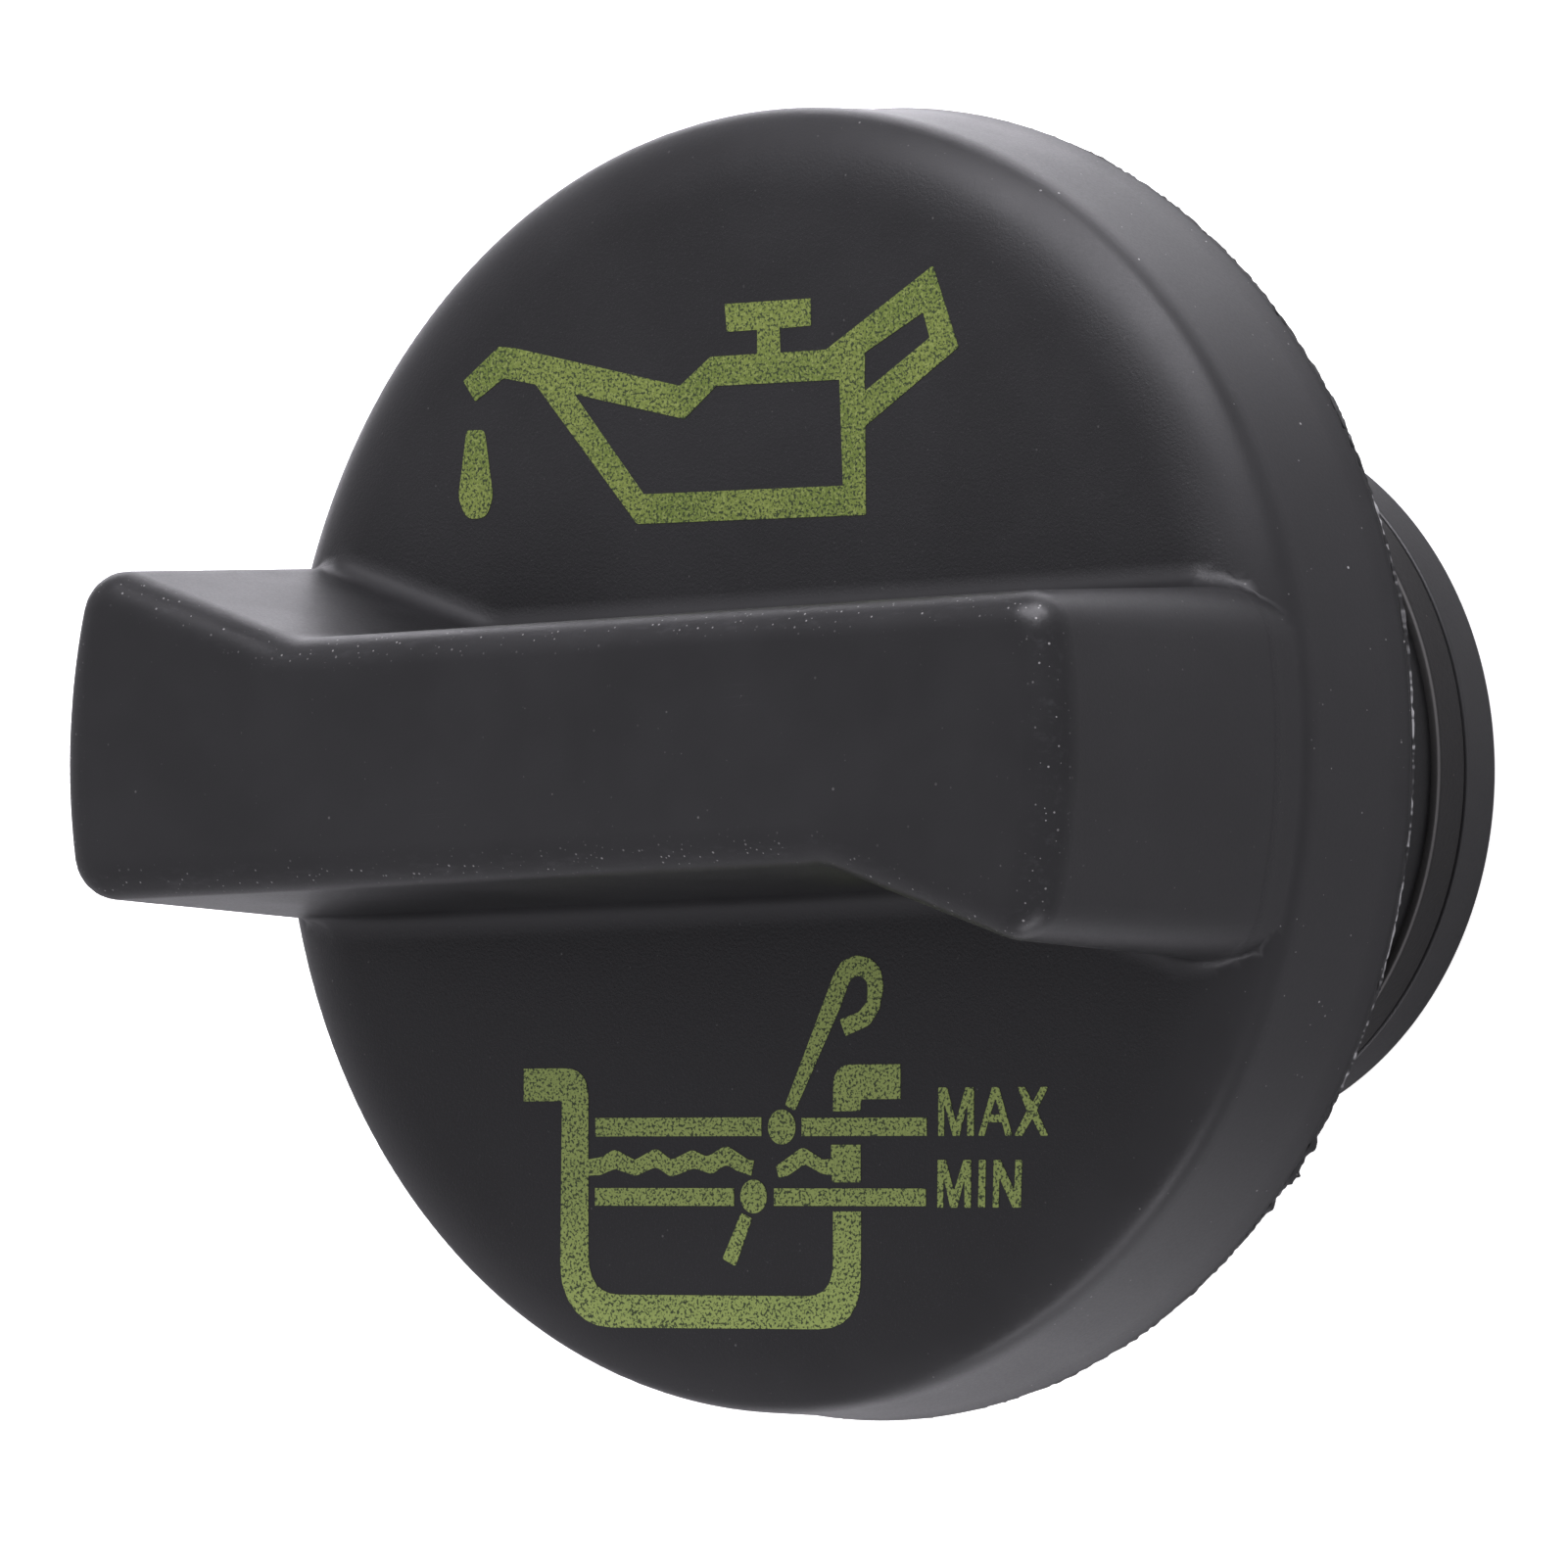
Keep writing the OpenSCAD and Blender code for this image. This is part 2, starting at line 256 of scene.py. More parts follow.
def skin(field, low, high, cell):
    """A closed mesh where field is zero: a corner in each cell that the surface crosses, drawn onto it."""
    batches, pulls, longest_pull, least_slope = 24, 4, 0.4 * cell, 0.25
    axes = [np.arange(low[k] - 1.5 * cell, high[k] + 2.5 * cell, cell) for k in range(3)]
    grid = np.stack(np.meshgrid(*axes, indexing="ij"), -1).reshape(-1, 3)
    f = np.concatenate([field(part) for part in np.array_split(grid, batches)])
    f = f.reshape([len(a) for a in axes])
    count = np.array(f.shape) - 1
    total, hits, links = np.zeros((*count, 3)), np.zeros(count), []
    for k in range(3):
        near, far = [slice(None)] * 3, [slice(None)] * 3
        near[k], far[k] = slice(0, -1), slice(1, None)
        a, b = f[tuple(near)], f[tuple(far)]
        crossed = (a < 0) != (b < 0)
        at = np.argwhere(crossed)
        point = at.astype(float)
        point[:, k] += a[crossed] / (a[crossed] - b[crossed])
        cells = []
        for du, dv in ((0, 0), (1, 0), (1, 1), (0, 1)):
            c = at.copy()
            c[:, (k + 1) % 3] -= du
            c[:, (k + 2) % 3] -= dv
            cells.append(tuple(c.T))
            np.add.at(total, cells[-1], point)
            np.add.at(hits, cells[-1], 1)
        links.append((cells, a[crossed] < 0))
    crossed = hits > 0
    index = np.full(count, -1)
    index[crossed] = np.arange(crossed.sum())
    points = total[crossed] / hits[crossed][:, None] * cell + np.array([a[0] for a in axes])
    quads = []
    for cells, outward in links:
        q = np.stack([index[c] for c in cells], 1)
        q[~outward] = q[~outward][:, ::-1]
        quads.append(q)
    for _ in range(pulls):
        slope = slope_of(field, points, cell)
        move = slope * (field(points) / np.maximum((slope ** 2).sum(1), least_slope))[:, None]
        length = np.linalg.norm(move, axis=1)
        points = points - move * np.minimum(1, longest_pull / np.maximum(length, 1e-9))[:, None]
    slope = slope_of(field, points, cell)
    normals = slope / np.maximum(np.linalg.norm(slope, axis=1), 1e-9)[:, None]
    return points, np.concatenate(quads), normals


def moulding(name, field, low, high, cell):
    """A piece skinned from its field, shaded by the field's own slope."""
    points, quads, normals = skin(field, low, high, cell)
    mesh = bpy.data.meshes.new(name)
    mesh.from_pydata((points * MM).tolist(), [], quads.tolist())
    mesh.polygons.foreach_set("use_smooth", [True] * len(mesh.polygons))
    mesh.validate()
    mesh.normals_split_custom_set_from_vertices(normals.tolist())
    return placed(name, mesh)


def add(tree, kind, inputs=None, **settings):
    """A new node, with its settings made and its inputs linked or set."""
    node = tree.nodes.new(kind)
    for name, value in settings.items():
        setattr(node, name, value)
    for name, value in (inputs or {}).items():
        if isinstance(value, bpy.types.NodeSocket):
            tree.links.new(value, node.inputs[name])
        else:
            node.inputs[name].default_value = value
    return node


def calc(tree, operation, a, b=None, c=None):
    """One step of arithmetic."""
    values = {i: v for i, v in enumerate((a, b, c)) if v is not None}
    return add(tree, "ShaderNodeMath", values, operation=operation).outputs[0]


def ramp(tree, value, low, high):
    """0 below low, 1 above high, with a soft step between."""
    node = add(tree, "ShaderNodeMapRange", {"Value": value, "From Min": low, "From Max": high},
               interpolation_type="SMOOTHSTEP")
    return node.outputs["Result"]


def blend(tree, share, under, over):
    """One colour laid over another by a share. A colour is a socket, or its red, green and blue."""
    inputs = {slot: (*value, 1) if isinstance(value, tuple) else value
              for slot, value in ((0, share), (6, under), (7, over))}
    return add(tree, "ShaderNodeMix", inputs, data_type="RGBA", clamp_factor=True).outputs[2]


def noise(tree, place, scale, detail=2.0, roughness=0.5):
    """Soft noise from about 0.3 to 0.7, with so many lumps in a unit of place."""
    inputs = {"Vector": place, "Scale": scale, "Detail": detail, "Roughness": roughness}
    return add(tree, "ShaderNodeTexNoise", inputs).outputs["Fac"]


def along(tree, place, axis):
    """How far along X, Y or Z a place lies."""
    return add(tree, "ShaderNodeSeparateXYZ", {"Vector": place}).outputs[axis]


def effect(name, sockets_in, sockets_out):
    """An empty shader node group, with named outputs and inputs. A vector's value is None."""
    group = bpy.data.node_groups.new(name, "ShaderNodeTree")
    for socket, value in sockets_in.items():
        kind = "NodeSocketVector" if value is None else "NodeSocketFloat"
        made = group.interface.new_socket(name=socket, in_out="INPUT", socket_type=kind)
        if value is not None:
            made.default_value = value
    for socket in sockets_out:
        group.interface.new_socket(name=socket, in_out="OUTPUT", socket_type="NodeSocketFloat")
    return group, group.nodes.new("NodeGroupInput").outputs, group.nodes.new("NodeGroupOutput").inputs


def specks_effect():
    """Small round specks, scattered. Place is in mm."""
    tree, given, result = effect("scattered specks", {"Place": None, "Pitch": 1.0, "Size": 0.1, "Share": 0.3},
                                 ("Mask",))
    cells = add(tree, "ShaderNodeTexVoronoi", {"Vector": given["Place"],
                                               "Scale": calc(tree, "DIVIDE", 1.0, given["Pitch"])})
    parts = add(tree, "ShaderNodeSeparateColor", {"Color": cells.outputs["Color"]}).outputs
    far = calc(tree, "MULTIPLY", cells.outputs["Distance"], given["Pitch"])
    size = calc(tree, "MULTIPLY", given["Size"], calc(tree, "MULTIPLY_ADD", parts["Green"], 0.8, 0.4))
    inside = ramp(tree, calc(tree, "DIVIDE", far, size), 1.1, 0.6)
    chosen = calc(tree, "LESS_THAN", parts["Red"], given["Share"])
    tree.links.new(calc(tree, "MULTIPLY", inside, chosen), result["Mask"])
    return tree


def grain_effect():
    """The fine cast grain of a spark-eroded mould. Place is in mm, Size is that of one grain."""
    tree, given, result = effect("mould grain", {"Place": None, "Size": 0.15}, ("Height", "Fleck"))
    scale = calc(tree, "DIVIDE", 1.0, given["Size"])
    coarse = noise(tree, given["Place"], scale, roughness=0.55)
    fine = noise(tree, given["Place"], calc(tree, "MULTIPLY", scale, 2.7), detail=1.0)
    tree.links.new(calc(tree, "ADD", coarse, calc(tree, "MULTIPLY", fine, 0.4)), result["Height"])
    tree.links.new(ramp(tree, fine, 0.62, 0.74), result["Fleck"])
    return tree


def handling_effect():
    """Uneven sheen from hands and a few hair-fine scuffs. Place is in mm."""
    tree, given, result = effect("handling marks", {"Place": None}, ("Smear", "Scuff"))
    wide = noise(tree, given["Place"], 0.11, 3.0, 0.6)
    tree.links.new(ramp(tree, wide, 0.3, 0.7), result["Smear"])
    warped = add(tree, "ShaderNodeTexNoise", {"Vector": given["Place"], "Scale": 0.3}).outputs["Color"]
    slight = add(tree, "ShaderNodeVectorMath", {0: warped, "Scale": 0.35}, operation="SCALE").outputs[0]
    bent = add(tree, "ShaderNodeVectorMath", {0: given["Place"], 1: slight}, operation="ADD").outputs[0]
    drawn = add(tree, "ShaderNodeMapping", {"Vector": bent, "Rotation": (0.3, 0.2, 0.9),
                                            "Scale": (0.12, 2.6, 2.6)}).outputs[0]
    lines = add(tree, "ShaderNodeTexVoronoi", {"Vector": drawn, "Scale": 0.5}, feature="DISTANCE_TO_EDGE")
    patch = noise(tree, given["Place"], 0.22)
    line = ramp(tree, lines.outputs["Distance"], 0.012, 0.002)
    tree.links.new(calc(tree, "MULTIPLY", line, ramp(tree, patch, 0.64, 0.76)), result["Scuff"])
    return tree


specks, grain, handling = specks_effect(), grain_effect(), handling_effect()


def place_in_mm(tree):
    """Where a point lies on the piece, in mm."""
    at = add(tree, "ShaderNodeTexCoord").outputs["Object"]
    return add(tree, "ShaderNodeVectorMath", {0: at, "Scale": 1 / MM}, operation="SCALE").outputs[0]


def used(tree, group, **values):
    """A shared effect, placed in a material with its own values."""
    inputs = {name.capitalize(): value for name, value in values.items()}
    return add(tree, "ShaderNodeGroup", inputs, node_tree=group).outputs


def painted(name):
    """A new material, with its node tree and its shader."""
    material = bpy.data.materials.new(name)
    material.use_nodes = True
    return material, material.node_tree, material.node_tree.nodes["Principled BSDF"]


def bumped(tree, surface, height, strength, distance):
    """Relief on a surface, where a height of 1 stands for the distance, in metres."""
    bump = add(tree, "ShaderNodeBump", {"Height": height, "Strength": strength, "Distance": distance})
    tree.links.new(bump.outputs["Normal"], surface.inputs["Normal"])


def laid_over(material, share, colour):
    """A colour laid over a material's own, by a share."""
    tree = material.node_tree
    base = tree.nodes["Principled BSDF"].inputs["Base Color"]
    tree.links.new(blend(tree, share, base.links[0].from_socket, colour), base)


dust_colour = (0.44, 0.43, 0.42)
rubbed_colour = (0.10, 0.10, 0.105)
nick_colour = (0.36, 0.355, 0.35)
painted_dark_band_colour = (0.002, 0.002, 0.0022)
nylon_colour = (0.0095, 0.0095, 0.0103)


def plastic(name, colour, rough, grain_height, face=None, rim=None, painted_dark_edge_z=None):
    """Moulded black plastic. face is the height of a grained face, in mm, and rim names an
    attribute of the mesh that is 1 along edges which hands have rubbed. The last argument is the
    height, in mm, of an edge that is made duller and painted darker: a painted dark band that
    stands in for a dark reflection along it."""
    material, tree, surface = painted(name)
    place = place_in_mm(tree)
    fine = used(tree, grain, place=place, size=0.16)
    marks = used(tree, handling, place=place)
    dust = used(tree, specks, place=place, pitch=0.9, size=0.07, share=0.26)["Mask"]
    lint = used(tree, specks, place=place, pitch=0.42, size=0.05, share=0.16)["Mask"]
    if face is None:
        amount, shine, settled, flecked = grain_height, rough, 1.0, 0.1
    else:
        z = along(tree, place, "Z")
        rises, ends = ramp(tree, z, face - 0.7, face - 0.05), ramp(tree, z, face + 0.25, face + 0.02)
        on_face = calc(tree, "MULTIPLY", rises, ends)
        amount = calc(tree, "MULTIPLY_ADD", on_face, 1.0, grain_height)
        shine = calc(tree, "MULTIPLY_ADD", on_face, 0.07, rough)
        settled = calc(tree, "MULTIPLY_ADD", ramp(tree, z, face - 0.3, face - 2.5), 0.75, 0.25)
        flecked = calc(tree, "MULTIPLY", on_face, 0.35)
    fleck = calc(tree, "MULTIPLY", fine["Fleck"], flecked)
    shine = calc(tree, "ADD", shine, calc(tree, "MULTIPLY", marks["Smear"], 0.06))
    shine = calc(tree, "ADD", shine, calc(tree, "MULTIPLY_ADD", fine["Height"], 0.14, -0.10))
    pale = tuple(c * 4 + 0.03 for c in colour)
    worn = tuple(c * 1.8 + 0.008 for c in colour)
    base = blend(tree, calc(tree, "MULTIPLY", marks["Smear"], 0.35), colour, worn)
    base = blend(tree, calc(tree, "MAXIMUM", fleck, calc(tree, "MULTIPLY", marks["Scuff"], 0.3)), base, pale)
    # a painted dark band along the skirt's rear edge, standing in for a dark reflection; the edge is also
    # made duller
    if painted_dark_edge_z is not None:
        painted_dark_band = ramp(tree, along(tree, place, "Z"), painted_dark_edge_z + 0.75, painted_dark_edge_z + 0.2)
        base = blend(tree, calc(tree, "MULTIPLY", painted_dark_band, 0.85), base, painted_dark_band_colour)
        shine = calc(tree, "MULTIPLY_ADD", painted_dark_band, 0.25, shine)
    if rim is not None:
        near = add(tree, "ShaderNodeAttribute", attribute_name=rim).outputs["Fac"]
        streaks = add(tree, "ShaderNodeMapping", {"Vector": place, "Scale": (0.8, 2.2, 2.2)}).outputs[0]
        rubbed = ramp(tree, noise(tree, streaks, 1.0, 4.0, 0.65), 0.5, 0.72)
        rubbed = calc(tree, "MULTIPLY", near, rubbed)
        nicks = used(tree, specks, place=place, pitch=0.30, size=0.06, share=0.5)["Mask"]
        nicks = calc(tree, "MULTIPLY", near, nicks)
        base = blend(tree, calc(tree, "MULTIPLY", rubbed, 0.16), base, rubbed_colour)
        base = blend(tree, calc(tree, "MULTIPLY", nicks, 0.9), base, nick_colour)
        shine = calc(tree, "SUBTRACT", shine, calc(tree, "MULTIPLY", near, 0.06))
    settled = calc(tree, "MULTIPLY", settled, calc(tree, "MULTIPLY_ADD", marks["Smear"], 0.8, 0.2))
    dust = calc(tree, "MULTIPLY", calc(tree, "MAXIMUM", dust, calc(tree, "MULTIPLY", lint, 0.5)), settled)
    tree.links.new(blend(tree, dust, base, dust_colour), surface.inputs["Base Color"])
    shine = calc(tree, "ADD", shine, calc(tree, "MULTIPLY", marks["Scuff"], 0.1))
    tree.links.new(shine, surface.inputs["Roughness"])
    bumped(tree, surface, calc(tree, "MULTIPLY", fine["Height"], amount), 0.6, 0.00003)
    return material


knob = moulding("knob_moulding", knob_field, knob_low / MM, knob_high / MM, knob_cell)
at = np.empty(len(knob.data.vertices) * 3)
knob.data.vertices.foreach_get("co", at)
at = at.reshape(-1, 3) / MM
edge_in = top_edge_r * (1 - np.sqrt(0.5))
from_edge = np.hypot(plan_distance(at[:, 0], at[:, 1]) + edge_in, at[:, 2] - top_z + edge_in)
rubbed_edge = knob.data.attributes.new("rubbed_edge", "FLOAT", "POINT")
rubbed_edge.data.foreach_set("value", np.exp(-(from_edge / rubbed_w) ** 2))
knob.data.materials.append(plastic("black nylon, grained face", nylon_colour, 0.40, 0.25,
                                   face=face_z, rim="rubbed_edge", painted_dark_edge_z=skirt_z))
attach(knob, "root")
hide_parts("knob")

# The mark on the face
# Two signs in yellow-green ink: an oil can with a drop above the grip, and below it an oil pan
# with its dipstick across the MAX and MIN lines. They are pad printed, a hair thick.
ink_h = 0.03
ink_sunk = 0.005
pan_longest = 0.6
print_turn = np.radians(-1.2)
can = [[(-18.59, 19.49, 0), (-16.24, 21.12, .2), (-15.16, 20.99, .2), (-4.51, 18.63, .2),
        (-2.55, 19.99, .2), (.42, 20.0, 0), (.42, 21.2, 0), (-1.5, 21.18, 0), (-1.64, 22.57, 0),
        (3.77, 22.59, 0), (3.81, 21.25, 0), (1.84, 21.2, 0), (1.86, 20.0, 0), (4.75, 20.01, .3),
        (11.41, 23.82, .1), (12.98, 19.76, .1), (7.19, 16.14, .1), (7.23, 11.78, .1),
        (-7.26, 11.85, .2), (-13.84, 19.11, .3), (-15.94, 19.52, .3), (-17.81, 18.43, .1)],
       [(-11.35, 18.53, .1), (-4.23, 16.97, .2), (-2.19, 18.53, .2), (5.59, 18.5, 0), (5.81, 13.27, 0),
        (-6.84, 13.32, .1)],
       [(7.18, 19.76, .1), (10.81, 21.57, .1), (11.22, 20.31, .1), (7.15, 17.84, .1)]]
drop = [[(-17.97, 16.98, .3), (-17.2, 16.96, .4), (-16.65, 13.6, 1.2), (-17.05, 12.5, .8), (-18.4, 12.5, .8),
         (-18.92, 13.6, 1.2), (-18.38, 16.98, .4)]]
pan = [[(-14.63, -15.26, 0), (-10.45, -15.26, 1.5), (-10.45, -19.82, 0), (-9.6, -19.7, .5),
        (-8.72, -19.3, .6), (-7.45, -19.86, .6), (-6.07, -19.25, .6), (-5.1, -19.86, .6),
        (-3.75, -19.34, .6), (-2.83, -19.7, .6), (-1.59, -19.12, .6), (-.2, -19.85, .5),
        (.16, -19.88, 0), (-.03, -20.62, 0), (-.93, -20.38, .5), (-1.6, -20.05, .6),
        (-2.5, -20.55, .6), (-3.67, -20.25, .6), (-5.11, -20.7, .6), (-6.07, -20.18, .6),
        (-7.4, -20.64, .6), (-8.72, -20.28, .6), (-9.7, -20.6, .5), (-10.45, -20.62, 0),
        (-10.45, -26.55, 2.0), (5.13, -26.55, 1.7), (5.13, -22.38, 0), (6.86, -22.38, 0),
        (6.84, -28.16, 2.7), (-12.3, -28.2, 3.1), (-12.14, -16.9, 0), (-14.63, -16.9, 0)]]
pan_rim = [[(5.15, -17.47, 0), (5.15, -15.18, 1.7), (9.32, -15.18, 0), (9.32, -16.88, 0), (6.83, -16.88, .4),
            (6.83, -17.45, 0)]]
pan_side = [[(5.02, -19.11, 0), (6.84, -19.11, 0), (6.84, -20.95, 0), (5.1, -20.95, 0),
             (5.06, -20.62, .1), (4.41, -20.52, .4), (3.35, -20.05, .5), (2.3, -20.62, .4),
             (1.72, -20.72, .1), (1.56, -20.15, .1), (2.38, -19.7, .4), (3.23, -19.2, .6),
             (4.5, -19.85, .4), (5.02, -19.8, .1)]]
rod = [[(2.13, -17.15, .1), (2.74, -17.43, .1), (5.57, -12.38, 3.0), (6.2, -11.0, .6), (6.75, -10.8, .4),
        (7.3, -11.1, .5), (7.3, -12.1, .6), (6.74, -12.62, .4), (5.57, -12.97, .1), (5.92, -13.78, .1),
        (7.4, -13.25, .7), (8.0, -12.5, .7), (8.28, -11.4, .8), (8.1, -10.5, .6), (7.5, -10.0, .6),
        (6.6, -9.82, .7), (5.7, -10.1, .6), (5.15, -10.85, .8)]]
rod_end = [[(-.65, -22.47, .1), (.02, -22.73, .1), (-1.03, -25.1, .15), (-1.84, -24.73, .15)]]
lines = [[[(x0, y0, 0), (x1, y0, 0), (x1, y1, 0), (x0, y1, 0)]] for x0, x1, y0, y1 in (
    (-9.97, .62, -17.75, -18.67), (3.17, 10.94, -17.79, -18.68),
    (-10.0, -1.12, -21.24, -22.12), (1.42, 10.88, -21.25, -22.11))]
dots = [[[(x + r * np.cos(a), y + r * np.sin(a), 0) for a in np.linspace(0, 2 * np.pi, 40, endpoint=False)]]
        for x, y, r in ((1.91, -18.23, .86), (.13, -21.65, .83))]
letters = [
    [[(11.67, -18.69), (11.68, -16.33), (12.21, -16.33), (12.74, -18.05), (13.35, -16.33), (13.85, -16.33),
      (13.84, -18.69), (13.45, -18.69), (13.47, -17.02), (12.95, -18.69), (12.56, -18.69), (12.03, -17.01),
      (12.01, -18.69)]],
    [[(14.13, -18.69), (14.98, -16.33), (15.38, -16.33), (16.2, -18.69), (15.79, -18.69), (15.58, -18.03),
      (14.71, -18.03), (14.49, -18.69)], [(15.17, -16.86), (15.47, -17.66), (14.85, -17.66)]],
    [[(16.54, -16.33), (16.95, -16.33), (17.46, -17.08), (17.95, -16.33), (18.38, -16.33), (17.69, -17.45),
      (18.38, -18.69), (17.95, -18.69), (17.42, -17.84), (16.79, -18.69), (16.33, -18.69), (17.1, -17.48)]],
    [[(11.6, -22.18), (11.63, -19.86), (12.12, -19.86), (12.62, -21.39), (13.22, -19.86), (13.67, -19.86),
      (13.65, -22.18), (13.27, -22.18), (13.28, -20.69), (12.81, -22.18), (12.4, -22.18), (11.97, -20.6),
      (11.95, -22.18)]],
    [[(14.17, -19.86), (14.57, -19.86), (14.52, -22.17), (14.11, -22.17)]],
    [[(15.0, -22.17), (15.07, -19.86), (15.47, -19.86), (16.32, -21.36), (16.4, -19.86), (16.78, -19.86),
      (16.7, -22.17), (16.22, -22.17), (15.4, -20.69), (15.35, -22.17)]]]
letters = [[[(x, y, .06) for x, y in outline] for outline in letter] for letter in letters]


def softened(outline):
    """An outline of (x, y, radius) corners as points, with each corner rounded."""
    points = []
    for i, (x, y, radius) in enumerate(outline):
        corner = np.array([x, y])
        if radius == 0:
            points.append(corner)
            continue
        back = np.array(outline[i - 1][:2]) - corner
        ahead = np.array(outline[(i + 1) % len(outline)][:2]) - corner
        lengths = np.linalg.norm(back), np.linalg.norm(ahead)
        back, ahead = back / lengths[0], ahead / lengths[1]
        half = np.arccos(np.clip(back @ ahead, -1, 1)) / 2
        reach = min(radius / np.tan(half), 0.49 * lengths[0], 0.49 * lengths[1])
        for t in np.linspace(0, 1, 7):
            points.append(corner + reach * ((1 - t) ** 2 * back + t ** 2 * ahead))
    return points


def printed(name, outlines, longest=None):
    """A flat film of ink inside the first outline and outside the others. Where longest is given,
    its edges are cut until none is longer, so that it can follow the face's fall."""
    curve = bpy.data.curves.new(name, "CURVE")
    curve.dimensions, curve.fill_mode, curve.extrude = "2D", "BOTH", ink_h / 2
    for outline in outlines:
        points = softened(outline)
        spline = curve.splines.new("POLY")
        spline.points.add(len(points) - 1)
        for point, (x, y) in zip(spline.points, points):
            point.co = (x, y, 0, 1)
        spline.use_cyclic_u = True
    drawn = placed(name, curve)
    bpy.context.view_layer.update()
    mesh = bpy.data.meshes.new_from_object(drawn.evaluated_get(bpy.context.evaluated_depsgraph_get()))
    bpy.data.objects.remove(drawn)
    bm = bmesh.new()
    bm.from_mesh(mesh)
    bpy.data.meshes.remove(mesh)
    bmesh.ops.remove_doubles(bm, verts=bm.verts, dist=0.001)
    if longest is not None:
        for _ in range(5):
            long = [e for e in bm.edges if e.calc_length() > longest]
            bmesh.ops.subdivide_edges(bm, edges=long, cuts=1)
        bmesh.ops.triangulate(bm, faces=bm.faces)
    return bm


ink_olive, ink_lime = (0.155, 0.215, 0.034), (0.215, 0.275, 0.052)
ink_thick_colour = (0.34, 0.41, 0.11)
ink_fresh_colour = (0.46, 0.58, 0.16)
ink_thin_colour = (0.024, 0.040, 0.012)
ink, ink_tree, ink_surface = painted("yellow-green ink")
ink_place = place_in_mm(ink_tree)
ink_grain = used(ink_tree, grain, place=ink_place, size=0.13)
pin_holes = used(ink_tree, specks, place=ink_place, pitch=0.22, size=0.06, share=0.5)["Mask"]
ink_tone = ramp(ink_tree, noise(ink_tree, ink_place, 0.25), 0.35, 0.65)
ink_colour = blend(ink_tree, ink_tone, ink_olive, ink_lime)
ink_thick = ramp(ink_tree, noise(ink_tree, ink_place, 5.2, roughness=0.6), 0.46, 0.66)
ink_colour = blend(ink_tree, calc(ink_tree, "MULTIPLY", ink_thick, 0.7), ink_colour, ink_thick_colour)
# the lower sign is the fresher one
fresher = calc(ink_tree, "MULTIPLY", ramp(ink_tree, along(ink_tree, ink_place, "Y"), 0.0, -8.0), 0.62)
ink_colour = blend(ink_tree, fresher, ink_colour, ink_fresh_colour)
ink_thin = ramp(ink_tree, noise(ink_tree, ink_place, 6.4, roughness=0.6), 0.50, 0.60)
ink_dark = calc(ink_tree, "MAXIMUM", calc(ink_tree, "MULTIPLY", ink_thin, 0.95),
                calc(ink_tree, "MULTIPLY", pin_holes, 0.8))
ink_colour = blend(ink_tree, ink_dark, ink_colour, ink_thin_colour)
ink_tree.links.new(ink_colour, ink_surface.inputs["Base Color"])
ink_surface.inputs["Roughness"].default_value = 0.5
bumped(ink_tree, ink_surface, ink_grain["Height"], 0.5, 0.00002)

signs = {"print_can": [can], "print_drop": [drop], "print_pan": [pan, pan_rim, pan_side],
         "print_dipstick": [rod, rod_end, *dots], "print_lines": lines, "print_max": letters[:3],
         "print_min": letters[3:]}
# the ink lies on the face, and dips with it where the wide arc of the shoulder begins
for name, shapes in signs.items():
    mesh = bpy.data.meshes.new(name)
    whole = bmesh.new()
    for shape in shapes:
        bm = printed(name, shape, pan_longest if name == "print_pan" else None)
        for v in bm.verts:
            x = v.co.x * np.cos(print_turn) - v.co.y * np.sin(print_turn)
            y = v.co.x * np.sin(print_turn) + v.co.y * np.cos(print_turn)
            over = max(np.hypot(x, y) - wide_c[0], 0)
            dip = wide_r - np.sqrt(wide_r ** 2 - over ** 2)
            v.co = (x, y, face_z - dip + v.co.z + ink_h / 2 - ink_sunk)
        bm.to_mesh(mesh)
        whole.from_mesh(mesh)
        bm.free()
    bmesh.ops.scale(whole, vec=(MM, MM, MM), verts=whole.verts)
    whole.to_mesh(mesh)
    whole.free()
    mesh.materials.append(ink)
    sign = placed(name, mesh)
    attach(sign, "root")

# The flash
# Where the mould's halves met at the skirt's rear edge, a ragged film of the same nylon
# stands out, thin as a hair and torn in places.
rng = np.random.default_rng(7)
flash_steps = 2400
# each lump's place and half width, in degrees, and how far it stands out, in mm
burrs = ((-22, 1.0, 0.10), (-34, 1.2, 0.12), (-37, 0.8, 0.20), (-40, 1.3, 0.24), (-44, 0.9, 0.14),
         (30, 2.0, 0.10), (9, 4.0, 0.06), (130, 3.0, 0.12), (231, 2.0, 0.16))
torn_spread = 38
film_in = 0.21
least_reach = 0.015
lump_drop = 0.7
lump_black = 0.06
# the film's foot inside the skirt's edge
foot_out, foot_in, foot_z, foot_in_z = 0.24, 0.38, 0.07, 0.04
torn_colour = (0.012, 0.012, 0.0125)
flash_highlight_colour = (0.42, 0.42, 0.42)
flash_turn = np.linspace(0, 2 * np.pi, flash_steps, endpoint=False)


def wander(waves, low, high):
    """A value at each step round the edge, which wanders between low and high in so many waves."""
    knots = rng.random(waves)
    at = flash_turn / (2 * np.pi) * waves
    i, t = at.astype(int), at - at.astype(int)
    t = t * t * (3 - 2 * t)
    return low + (high - low) * (knots[i % waves] * (1 - t) + knots[(i + 1) % waves] * t)


